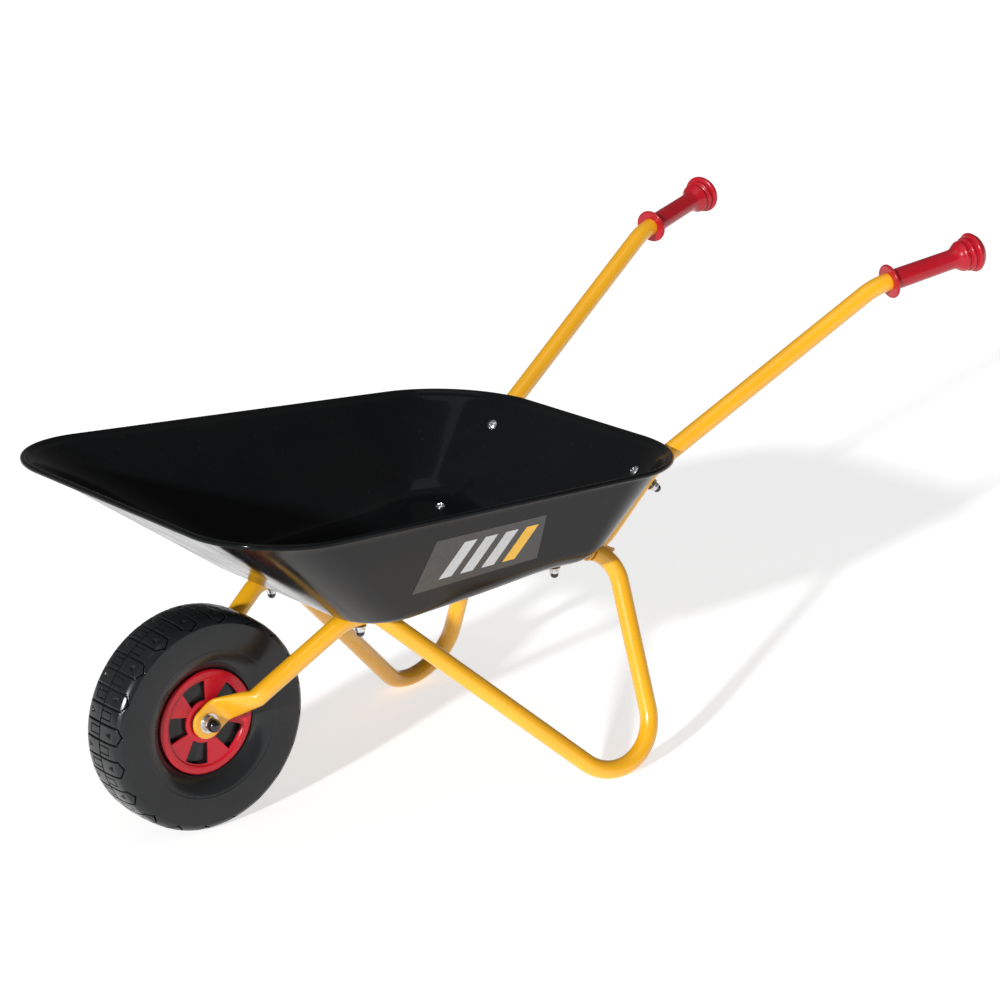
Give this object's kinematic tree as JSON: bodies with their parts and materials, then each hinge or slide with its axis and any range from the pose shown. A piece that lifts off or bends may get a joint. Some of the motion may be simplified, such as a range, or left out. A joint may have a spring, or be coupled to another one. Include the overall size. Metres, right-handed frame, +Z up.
{
  "type": "wheelbarrow",
  "caption": "Child-size wheelbarrow: pressed open tray on two bent tubes that form fork, run and handles, two V legs, moulded grips, and a spoked wheel that spins on a fixed axle.",
  "frame": {"origin": "on the ground, under the middle of the overall length and width", "axes": "+X points back from the wheel to the grips, +Z points up, and +Y completes a right-handed frame, square to the barrow's middle plane"},
  "size_m": [0.8232, 0.3863, 0.4298],
  "materials": {
    "tray_black": "high gloss baked enamel",
    "frame_yellow": "gloss powder coat",
    "grip_red": "moulded, semi-matt",
    "tyre_plastic": "blow-moulded, satin",
    "hub_red": "moulded, semi-gloss",
    "bush_plastic": "moulded, matt",
    "zinc_steel": "bright zinc plate",
    "cap_black": "moulded, gloss"
  },
  "bodies": {
    "chassis": {"axle": "zinc_steel", "axle_cap_left": "cap_black", "axle_cap_right": "cap_black", "axle_nut_left": "zinc_steel", "axle_nut_right": "zinc_steel", "axle_spacer_left": "bush_plastic", "axle_spacer_right": "bush_plastic", "axle_washer_left": "zinc_steel", "axle_washer_right": "zinc_steel", "front_floor_bolts": "zinc_steel", "front_floor_nut_caps": "cap_black", "front_floor_nuts": "zinc_steel", "front_floor_washers": "zinc_steel", "grip_left": "grip_red", "grip_right": "grip_red", "leg_tube_left": "frame_yellow", "leg_tube_right": "frame_yellow", "main_tube_left": "frame_yellow", "main_tube_right": "frame_yellow", "rear_floor_bolts": "zinc_steel", "rear_floor_nut_caps": "cap_black", "rear_floor_nuts": "zinc_steel", "rear_floor_washers": "zinc_steel", "rear_wall_bolts": "zinc_steel", "rear_wall_nut_caps": "cap_black", "rear_wall_nuts": "zinc_steel", "rear_wall_washers": "zinc_steel", "tray": "tray_black"},
    "wheel": {"tyre": "tyre_plastic", "hub_disc_left": "hub_red", "hub_disc_right": "hub_red", "hub_sleeve": "bush_plastic"}
  },
  "joints": [
    {"name": "wheel_spin", "type": "hinge", "parent": "chassis", "child": "wheel", "pos_m": [-0.3191, 0, 0.0925], "axis": [0, 1, 0], "continuous": true}
  ]
}
